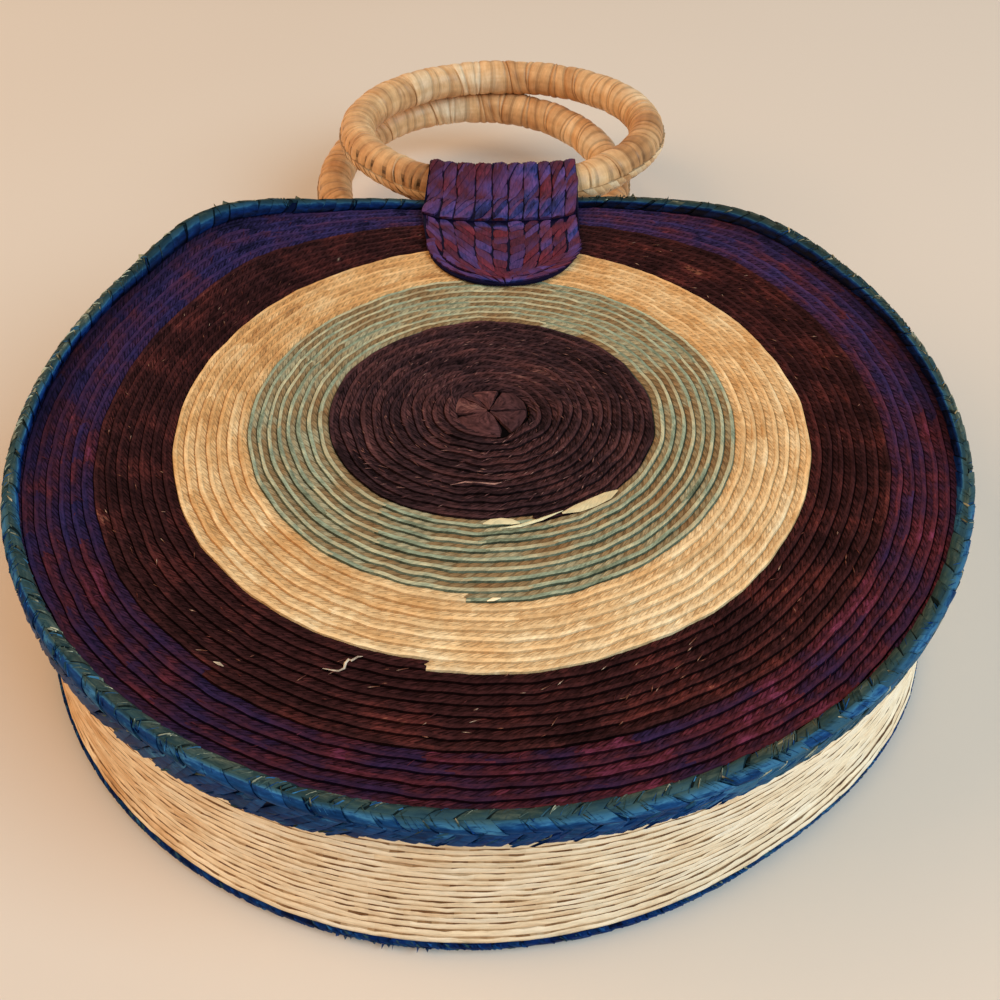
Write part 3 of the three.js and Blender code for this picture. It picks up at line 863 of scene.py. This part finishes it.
# The rim's three rows of leaves: where they start and end, or 0 at the foot, how they slant, how many there
# are to a pitch, and the tone in the shade of the tip before
rim_columns = (
    {"from": -0.3, "to": 4.9, "slant": -1.3, "fine": 1, "under": 0.2},
    {"from": 4.3, "to": 9.6, "slant": 1.2, "fine": 1, "under": 0.7},
    {"from": 8.8, "to": 0.0, "slant": -0.95, "fine": 2, "under": 0.8},
)
# The narrow leaves that are sewn over the rim at each pitch, on its fold and on its top
rim_stitches = (
    {"across": (5.2, 7.4), "turn": 42, "length": (3, 5.5), "width": (0.7, 1.2), "lift": 0.55,
     "dyes": [0.2, 0.3, 0.4], "tone": (0.5, 0.95)},
    {"across": (2.5, 4.2), "turn": -40, "length": (3, 5), "width": (0.5, 0.9), "lift": 0.5,
     "dyes": [0.12, 0.2, 0.26], "tone": (0.5, 0.9)},
)
# Stray hairs: the angles between which they stand, how many, how far across and in what shade
rim_hairs = {"front": ((52, 78, 16, 5.5, 0.0), (120, 150, 8, 5.5, 0.1)), "back": ((256, 266, 9, 6.8, 0.0),)}
side_sliver = {"taper": 0.7, "base": 0.15, "lift": 0.35, "tip": 0.1, "sink": 0.4, "split": True}
top_sheen_sliver = {"taper": 0.7, "base": 0.2, "lift": 0.3, "tip": 0.1, "sink": 0.4, "split": True}
stray_hair = {"width": 0.4, "taper": 0.7, "base": 0.6, "lift": 0.2, "sink": 0.0, "split": True, "tone": 1.0}
sewn_leaf = {"taper": 0.6, "base": 0.15, "tip": 0.15, "sink": 0.5, "split": True}
side_start = 7.5
side_slivers, top_sheen_slivers = 6, 7
bed_share = np.array([0, 0.2, 0.38, 0.46, 0.52, 0.58, 0.78, 1.0])
for side in sides:
    draw = np.random.default_rng(60 + side["out"])
    place = rim_surface(side)
    station = np.arange(360)[:, None] / 360 * 2 * math.pi * disc_radius
    leg = rim_leg(np.degrees(station / disc_radius), side)
    reach = rim_top + rim_fold * (math.pi / 2 - 1) + rim_face + leg
    bed = np.concatenate([reach * bed_share, reach * bed_share[::-1]], axis=1)
    depth = np.repeat([-rim_bed, -rim_thick], len(bed_share))[None, :] + 0 * bed
    # The bed under the leaves is dark navy, darkened further as painted shade where it shows between them
    parts = [turned_out(grid_part(place(station, bed, depth), 0.0, 0.0, 0.06, 0.6, close=True, ring=True))]
    count = round(2 * math.pi * disc_radius / rim_pitch)
    leaves = []

    def darker(angle):
        """What the back rim's dye has less than the front's."""
        return 0.0 if side["out"] > 0 else -0.13 - 0.05 * math.cos(angle)

    for column in rim_columns:
        total = count * column["fine"]
        for number in range(total):
            degrees = 360 * number / total + draw.normal(0, 0.3)
            angle = math.radians(degrees)
            foot = column["to"] or rim_foot(reach[:, 0], degrees) + 0.4
            # Leaves round the far side are darkened as painted shade
            far_rim_shade = smooth_rise(math.sin(angle), 0.1, 0.6)
            leaves.append({
                "along": angle * disc_radius, "across": (column["from"] + foot) / 2,
                "slant": column["slant"] + draw.normal(0, 0.25), "width": foot - column["from"],
                "length": 2 * math.pi * disc_radius / total * 1.22, "base": -0.5,
                "lift": draw.uniform(0.75, 1.0), "tip": draw.normal(0.26, 0.1), "sink": 0.5,
                "dye": darker(angle) + draw.normal(0, 0.045),
                "tone": draw.uniform(0.7, 1.2) * (1 - 0.42 * far_rim_shade), "under": column["under"],
            })
    for _ in range(count * side_slivers):
        degrees = draw.uniform(0, 360)
        side_reach = 0.98 * (rim_foot(reach[:, 0], degrees) - side_start)
        leaves.append({
            **side_sliver, "along": math.radians(degrees) * disc_radius,
            "across": side_start + side_reach * draw.uniform(0, 1) ** 0.6,
            "turn": -38 + draw.normal(0, 7), "length": draw.uniform(3, 8), "width": draw.uniform(0.3, 0.6),
            "dye": darker(math.radians(degrees)) + draw.choice([-0.1, 0.0, 0.0, 0.1, 0.2, 0.5]),
            "tone": draw.uniform(0.6, 1.2),
        })
    # Slivers on the top and fold: loose ends of leaf, the lighter ones painted sheen streaks
    for _ in range(count * top_sheen_slivers if side["out"] > 0 else 0):
        across = draw.uniform(1.5, 6.8)
        leaves.append({
            **top_sheen_sliver, "along": math.radians(draw.uniform(150, 400)) * disc_radius, "across": across,
            "turn": (-38 if across < 4.6 else 40) + draw.normal(0, 9), "length": draw.uniform(2.5, 7),
            "width": draw.uniform(0.3, 0.8), "dye": draw.choice([-0.3, -0.1, 0.0, 0.06, 0.1]),
            "tone": draw.uniform(0.45, 1.4),
        })
    for start, stop, number, across, dye in rim_hairs[side["name"]]:
        for degrees in draw.uniform(start, stop, number):
            leaves.append({
                **stray_hair, "along": math.radians(degrees) * disc_radius,
                "across": across + draw.normal(0, 0.5), "turn": draw.uniform(35, 110),
                "length": draw.uniform(4, 8), "tip": draw.uniform(1.2, 2.6), "dye": dye,
            })
    for number in range(count if side["out"] > 0 else 0):
        degrees = 360 * (number + 0.42) / count
        shares = (0.85 if 120 < degrees < 235 else 0.45, 0.4)
        for stitch, share in zip(rim_stitches, shares):
            if draw.random() < share:
                leaves.append({
                    **sewn_leaf, "along": math.radians(degrees) * disc_radius + draw.normal(0, 0.6),
                    "across": draw.uniform(*stitch["across"]), "turn": stitch["turn"] + draw.normal(0, 8),
                    "length": draw.uniform(*stitch["length"]), "width": draw.uniform(*stitch["width"]),
                    "lift": stitch["lift"], "dye": draw.choice(stitch["dyes"]),
                    "tone": draw.uniform(*stitch["tone"]),
                })
    middle = np.array([side["shift"], 0, 40.0])
    upward = np.array([0, 0, 400.0 * side["out"]])
    # 0.3 and 0.9 are the painted shade at the ends and sides of the rim's leaves
    parts += leaf_parts(place, leaves, lambda p: p - middle + upward, rim_dye_and_painted_light, 0.3, 0.9)
    straw_piece(f"{side['name']}_rim_plait", parts, rim_finish, f"{side['name']}_rim_braid")

# Ring handles
# A stiff ring wound all round with broad undyed straw. The winding is sewn along the outside, where it leaves
# a row of small slots, and a twisted cord runs below the seam. On both sides of its tab it is pulled in.
ring_radius = 93.3
ring_tube = 10.0
ring_fill = 0.9
ring_wraps = 92
wrap_points = 6
wrap_height = np.array([-0.5, -0.05, 0.12, 0.18, 0.15, 0.0])
# Lightness across a wrap: darker at its edges as painted shade in the joints between wraps
wrap_light = np.array([0.72, 0.95, 1.0, 1.0, 1.0, 0.85])
tube_points = 30
skin_reach = 9
seam_angle = math.radians(14)
slot_width = 0.25
slot_depth = 1.1
cord_angle = math.radians(-10)
cord_pitch = 5.2
flat_reach = math.radians(56)
flat_depth = 4.0
# The middle of each ring in x, y and z, and its tilt in degrees
front_side["handle"] = (7.0, 306.6, 63.3, -3.5)
back_side["handle"] = (-12.0, 306.0, 26.8, 6.2)
ring_dyes = [
    (0.0, (128, 82, 44)), (0.3, (196, 138, 86)), (0.6, (228, 178, 124)),
    (0.85, (238, 206, 164)), (1.0, (246, 230, 202)),
]
ring_finish = straw_finish("handle_straw", ring_dyes, 0.42, 0.25, grain=(3.0, 0.6), fleck=0.25)


def ring_flat(angle):
    """How far a ring is pulled in at an angle from where its tab holds it."""
    off = np.abs((angle + math.pi) % (2 * math.pi) - math.pi)
    return flat_depth * np.where(off < flat_reach, np.sin(math.pi * off / flat_reach) ** 2, 0)


def ring_surface(handle):
    """Places on a ring: along it, round its tube and above its skin."""
    x0, y0, z0, tilt = handle
    cos_tilt, sin_tilt = math.cos(math.radians(tilt)), math.sin(math.radians(tilt))

    def place(along, around, lift):
        angle = along / ring_radius
        out = ring_radius + (ring_tube + lift) * np.cos(around / ring_tube)
        up = (ring_tube + lift) * np.sin(around / ring_tube)
        x, y = out * np.cos(angle), out * np.sin(angle) - ring_flat(angle + math.pi / 2)
        z = z0 + y * sin_tilt + up * cos_tilt
        return np.stack([x0 + x, y0 + y * cos_tilt - up * sin_tilt, z], axis=-1)

    return place


for side in sides:
    draw = np.random.default_rng(70 + side["out"])
    place = ring_surface(side["handle"])
    count = np.arange(ring_wraps * wrap_points)[:, None]
    around = np.arange(tube_points)[None, :] / tube_points * 2 * math.pi
    uneven = 0.3 * np.sin(count / wrap_points * 2.1) + 0.25 * np.sin(count / wrap_points * 0.77 + 1)
    skew = 0.35 * np.sin(around + count / wrap_points * 0.9)
    share = (count / wrap_points + uneven + skew - around / (2 * math.pi) + 0.5) / ring_wraps
    along = 2 * math.pi * ring_radius * share
    phase = count % wrap_points
    wrap = count // wrap_points
    off_seam = (around - seam_angle + math.pi) % (2 * math.pi) - math.pi
    slot = np.exp(-((off_seam / slot_width) ** 2)) * ((phase == 0) | (phase == wrap_points - 1))
    x, y = ring_radius * np.cos(along / ring_radius), ring_radius * np.sin(along / ring_radius)
    skin_x, skin_y = x + skin_reach * np.cos(around), y + skin_reach * np.sin(around)
    slot = slot * (0.25 + 0.75 * smooth_rise(-np.cos(along / ring_radius), 0.1, 0.5))
    lift = ring_fill + wrap_height[phase] + draw.normal(0, 0.16, ring_wraps)[wrap] - slot_depth * slot
    lift = lift + 0.22 * wander(skin_x, skin_y, 28, 71)
    shade = 0.36 + 0.1 * y / ring_radius + 0.2 * draw.random(ring_wraps)[wrap]
    shade = shade + 0.16 * wander(skin_x, skin_y, 60, 72)
    # Painted shade in the slots
    tone = wrap_light[phase] * draw.uniform(0.92, 1.05, ring_wraps)[wrap] * (1 - 0.75 * slot)
    u = np.arange(ring_wraps * wrap_points + 1)[:, None] / wrap_points
    v = np.arange(tube_points + 1)[None, :] * 2 * math.pi * ring_tube / tube_points / cell_length
    points = place(along, around * ring_tube, lift)
    winding = grid_part(points, u, v, np.clip(shade, 0, 1), tone, close=True, ring=True, shift=wrap_points)
    parts = [turned_out(winding)]
    beads = round(2 * math.pi * ring_radius / cord_pitch)
    leaves = [{
        "along": 2 * math.pi * ring_radius * number / beads,
        "across": cord_angle * ring_tube + draw.normal(0, 0.2), "slant": -1.1 + draw.normal(0, 0.15),
        "length": 6.0, "width": 4.4, "base": ring_fill, "lift": draw.uniform(1.0, 1.4), "tip": 0.3,
        "sink": 0.3, "dye": 0.62 + draw.normal(0, 0.15), "tone": draw.uniform(0.8, 1.05),
    } for number in range(beads)]
    hub = np.array(side["handle"][:3])

    def from_core(p):
        off = p - hub
        reach = np.hypot(off[:, 0], off[:, 1])[:, None]
        return off - np.concatenate([off[:, :2] / reach * ring_radius, np.zeros_like(reach)], axis=1)

    parts += leaf_parts(place, leaves, from_core)
    name = side["name"]
    straw_piece(f"{name}_ring_winding", parts, ring_finish, f"{name}_handle_ring")

# Handle tabs
# A broad flat plait of plum, violet and blue straw lies on the disc with a rounded end, climbs over the rim,
# goes round the ring and ends inside. Its upper length laps over the rounded end in a straight seam.
tab_width = 80.0
tab_thick = 2.5
tab_tip = 93.0
tab_depth = 34.0
tab_crease = 158.0
tab_tuck = 150.0
tab_ropes = 10
tab_step = 9.0
tab_flap = 1.1
core_setback = 30
loop_steps = 13
points_before_loop = 12
tab_columns, tab_samples, tab_stations = 47, 900, 700
tab_dyes = [
    (0.0, (20, 11, 32)), (0.25, (50, 56, 114)), (0.45, (90, 64, 116)),
    (0.7, (84, 42, 60)), (1.0, (112, 44, 56)),
]
tab_finish = straw_finish("tab_straw", tab_dyes, 0.5, 0.03, fleck=0.8, relief=0.3)


def tab_lines(side, x):
    """Middle line of the tab at each x, as [y, z] points from its end on the disc to its end in the bag."""
    x0, y0, z0, tilt = side["handle"]
    local = x - side["shift"]
    half = tab_thick / 2
    on_disc = 0.6 + half
    on_rim = 2.8 + on_disc
    edge = np.sqrt(disc_radius**2 - local**2)

    def outside(y, clear):
        return [y + 0 * x, side["face"](local, y + 0 * x) + side["out"] * clear]

    def inside(y, clear):
        return [y + 0 * x, side["face"](local, y + 0 * x) - side["out"] * (straw_wall + clear)]

    line = [outside(tab_tip + (tab_crease - tab_tip) * t, on_disc) for t in np.linspace(0, 1, 9)]
    line.append(outside(tab_crease + 6, on_disc + 1.2))
    line.append(outside(edge - 10.5, on_rim + 0.5))
    line.append(outside(edge - 2, on_rim + 0.6))
    swing = np.arcsin((x - x0) / ring_radius)
    reach = ring_radius * np.cos(swing)
    tube_y = y0 - (reach + ring_flat(swing)) * math.cos(math.radians(tilt))
    tube_z = z0 - reach * math.sin(math.radians(tilt))
    loop_y, loop_z = ring_tube / np.cos(swing) + 0.8 + half, ring_tube + 0.8 + half
    for around in np.radians(np.linspace(105, -105, loop_steps)):
        line.append([tube_y + loop_y * np.cos(around), tube_z + side["out"] * loop_z * np.sin(around)])
    under = mouth_leg - straw_wall + on_disc
    line.append(inside(edge, under + 0.6))
    line.append(inside(edge - 6, under - 0.4))
    line.append(inside(edge - 14, on_disc + 0.4))
    line.append(inside((edge - 14 + tab_tuck) / 2, on_disc))
    line.append(inside(tab_tuck, on_disc))
    return np.moveaxis(np.array(line), -1, 0)


def tab_surface(side):
    """Places on a tab: along it from the crest of its loop, across it from its middle, and above it. Also
    the lowest and highest place along it."""
    xs = np.linspace(-tab_width / 2 - 6, tab_width / 2 + 6, tab_columns)
    lines = tab_lines(side, xs + side["handle"][0])
    last = lines.shape[1] - 1
    fine = np.linspace(0, last, tab_samples)
    base = np.clip(np.floor(fine).astype(int), 0, last - 1)
    t = (fine - base)[None, :, None]
    before, start = lines[:, np.maximum(base - 1, 0)], lines[:, base]
    stop, after = lines[:, base + 1], lines[:, np.minimum(base + 2, last)]
    bend = (2 * before - 5 * start + 4 * stop - after) * t**2 + (3 * start - before - 3 * stop + after) * t**3
    curve = start + 0.5 * ((stop - before) * t + bend)
    step = np.linalg.norm(np.diff(curve, axis=1), axis=2)
    length = np.concatenate([np.zeros((len(xs), 1)), np.cumsum(step, axis=1)], axis=1)
    crest = np.argmin(np.abs(fine - (points_before_loop + loop_steps // 2)))
    length = length - length[:, crest : crest + 1]
    low, high = length[:, 0].max(), length[:, -1].min()
    stations = np.linspace(low, high, tab_stations)
    table = np.array([
        [np.interp(stations, length[i], curve[i, :, k]) for k in (0, 1)] for i in range(len(xs))
    ])

    def look(along, across):
        i = np.clip((across - xs[0]) / (xs[1] - xs[0]), 0, len(xs) - 1.001)
        j = np.clip((along - low) / (high - low) * (len(stations) - 1), 0, len(stations) - 1.001)
        i0, j0 = i.astype(int), j.astype(int)
        fi, fj = (i - i0)[..., None], (j - j0)[..., None]
        near = table[i0, :, j0] * (1 - fi) + table[i0 + 1, :, j0] * fi
        far = table[i0, :, j0 + 1] * (1 - fi) + table[i0 + 1, :, j0 + 1] * fi
        return near * (1 - fj) + far * fj

    def place(along, across, lift):
        along, across = np.broadcast_arrays(along, across)
        across = across * (0.98 + 0.07 * smooth_rise(along, low + 60, low + 100))
        flare = np.exp(-(((along - low - 62) / 17) ** 2))
        across = across * (1 + 0.1 * flare * (across < 0))
        here = look(along, across)
        run = look(along + 0.8, across) - look(along - 0.8, across)
        run = run / np.maximum(np.linalg.norm(run, axis=-1, keepdims=True), 1e-6)
        y = here[..., 0] - side["out"] * lift * run[..., 1]
        z = here[..., 1] + side["out"] * lift * run[..., 0]
        return np.stack([across + side["handle"][0], y, z], axis=-1)

    return place, low, high


for side in sides:
    draw = np.random.default_rng(80 + side["out"])
    place, low, high = tab_surface(side)
    seam = low + tab_crease - 2 - tab_tip
    across = np.linspace(-1, 1, 33)[:, None] * tab_width / 2
    tip = low + tab_depth * (1 - np.sqrt(1 - (across / (tab_width / 2)) ** 2))
    parts = []
    shells = ((tip, 0.1, -1.0, 120), (seam + 0 * tip, 0.1 + tab_flap, 0.0, 90))
    for start, above, below, points_along in shells:
        run = start + (high - start) * np.linspace(0, 1, points_along)[None, :]
        shell = np.concatenate([place(run, across, above), place(run, across, below)[:, ::-1]], axis=1)
        # The core under the plaits is darkened as painted shade where it shows between them
        parts.append(turned_out(grid_part(shell, 0.0, 0.0, 0.03, 0.6, close=True, caps=True)))
    plaits = draw.uniform(0.75, 1.25, tab_ropes)
    plaits = plaits * tab_width / plaits.sum()
    lower, upper = [], []
    for plait, stop in zip(plaits, np.cumsum(plaits)):
        middle = stop - plait / 2 - tab_width / 2
        off = (middle / tab_width * 2) ** 2
        inner = math.sqrt(max(0, 0.6 - off) / (1 - off))
        first = low + tab_depth * (1 - inner) + draw.uniform(2, 5)
        lean = 1.7 * np.clip(middle / 16, -1, 1)
        for along in np.arange(first, seam + 1, tab_step * 0.85):
            lower.append({
                "along": along + draw.normal(0, 0.6), "across": middle + draw.normal(0, 0.4),
                "slant": lean + draw.normal(0, 0.3), "length": tab_step * draw.uniform(1.15, 1.4),
                "taper": 0.3, "width": plait * 1.04, "base": -0.15, "lift": draw.uniform(0.9, 1.15),
                "sink": 0.3, "round": 0.6, "tip": -draw.normal(0.25, 0.06), "dye": draw.normal(0, 0.15),
                "tone": draw.uniform(0.7, 1.12),
            })
        rib = draw.uniform(0.95, 1.75)
        for along in np.arange(seam - 6 + draw.uniform(0, tab_step), high - 22, tab_step):
            upper.append({
                "along": along + draw.normal(0, 0.5), "across": middle + draw.normal(0, 0.3),
                "slant": 2.6 + draw.normal(0, 0.4), "length": tab_step * draw.uniform(1.3, 1.8),
                "taper": 0.15, "width": plait * 1.02, "base": 0.1 + tab_flap,
                "lift": rib + draw.uniform(-0.2, 0.2), "sink": 0.3, "round": 0.65,
                "tip": -draw.normal(0.3, 0.07), "dye": draw.normal(0, 0.14), "tone": draw.uniform(0.75, 1.12),
            })
    half = tab_width / 2
    for share, base, first in ((0.94, 0.15, 2), (0.8, 0.0, 28)):
        for angle in np.radians(np.arange(first, 182 - first, 6.5)):
            here = tab_depth * (1 - share * math.sin(angle)) + 1.2
            narrow = math.sqrt(1 - (1 - min(here / tab_depth, 1)) ** 2)
            heading = math.degrees(math.atan2(-math.sin(angle), -tab_depth / half * math.cos(angle)))
            lower.append({
                "along": low + here, "across": share * half * math.cos(angle) / narrow,
                "turn": heading, "slant": 0.7, "length": 8.5, "width": 5.4, "base": base, "lift": 1.0,
                "tip": 0.25, "sink": 0.25, "dye": draw.normal(-0.08, 0.08), "tone": draw.uniform(0.8, 1.1),
            })

    def fan(along, across, lift):
        """Places on the lower length, drawn in towards its rounded end."""
        share = np.clip((along - low) / tab_depth, 0.03, 1)
        return place(along, across * np.sqrt(1 - (1 - share) ** 2), lift)

    def flap(along, across, lift):
        """Places on the upper length, none of them past the seam."""
        above = along - seam
        return place(seam + (above + np.sqrt(above**2 + 5)) / 2, across, lift)

    def tab_dye(along, across):
        """Plum, with violet above the seam and a bluer edge round the end."""
        above = along - seam
        blue = smooth_rise(above, -9, -5) * (1 - 0.6 * smooth_rise(above, 10, 34))
        blue = blue * (1 - 0.6 * (across / half) ** 2)
        edge = 1 - smooth_rise(along, low + 1, low + 5)
        return 0.7 - 0.34 * blue - 0.4 * edge + 0.12 * wander(along, across, 30, 81)

    core = np.array([0, side["handle"][1] - ring_radius - core_setback, side["handle"][2]])
    outside = np.array([0, 0, 8.0 * side["out"]])

    def from_core(p):
        return (p - core) * np.array([0, 1, 1]) + outside

    for where, leaves in ((fan, lower), (flap, upper)):
        # 0.5 and 0.4 are the painted shade at the ends and sides of the tab's leaves
        parts += leaf_parts(where, leaves, from_core, tab_dye, 0.5, 0.4)
    name = side["name"]
    straw_piece(f"{name}_tab_plait", parts, tab_finish, f"{name}_handle_tab")

low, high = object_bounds()
sizes = {"cad": [list(cad_low), list(cad_high)], "visual": [list(low), list(high)]}
